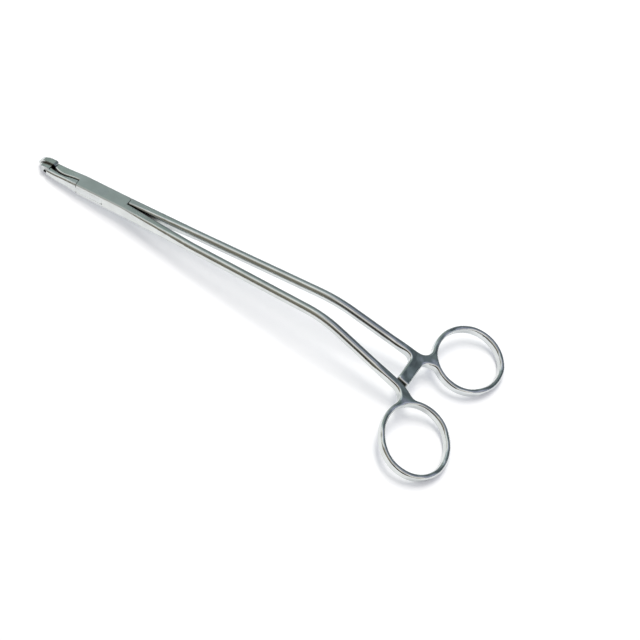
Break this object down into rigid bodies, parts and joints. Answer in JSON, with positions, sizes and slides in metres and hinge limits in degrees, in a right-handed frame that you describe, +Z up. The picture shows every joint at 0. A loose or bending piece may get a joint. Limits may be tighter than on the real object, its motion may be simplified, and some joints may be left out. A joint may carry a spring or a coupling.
{
  "type": "biopsy punch",
  "caption": "Long ring-handled biopsy punch forceps with a box joint, angled shanks, a D-shaped window jaw and a punch jaw that closes into it.",
  "frame": {"origin": "middle of the closed instrument's outline seen from above, on the surface that it lies on", "axes": "+X from the jaws to the finger rings, +Z up from the surface, +Y to the side of the punch half's finger ring"},
  "size_m": [0.217, 0.0838, 0.0205],
  "materials": {
    "window_half_steel": "satin polished stainless steel",
    "punch_half_steel": "satin polished stainless steel",
    "pin_steel": "ground flush and polished with the joint"
  },
  "bodies": {
    "window_half": {"window_jaw_half": "window_half_steel", "pivot_pin": "pin_steel"},
    "punch_half": {"punch_jaw_half": "punch_half_steel"}
  },
  "joints": [
    {"name": "jaw_opening", "type": "hinge", "parent": "window_half", "child": "punch_half", "pos_m": [-0.07428, 0, 0.00639], "axis": [-0.1137, 0, 0.9935], "range_deg": [0, 25]}
  ]
}
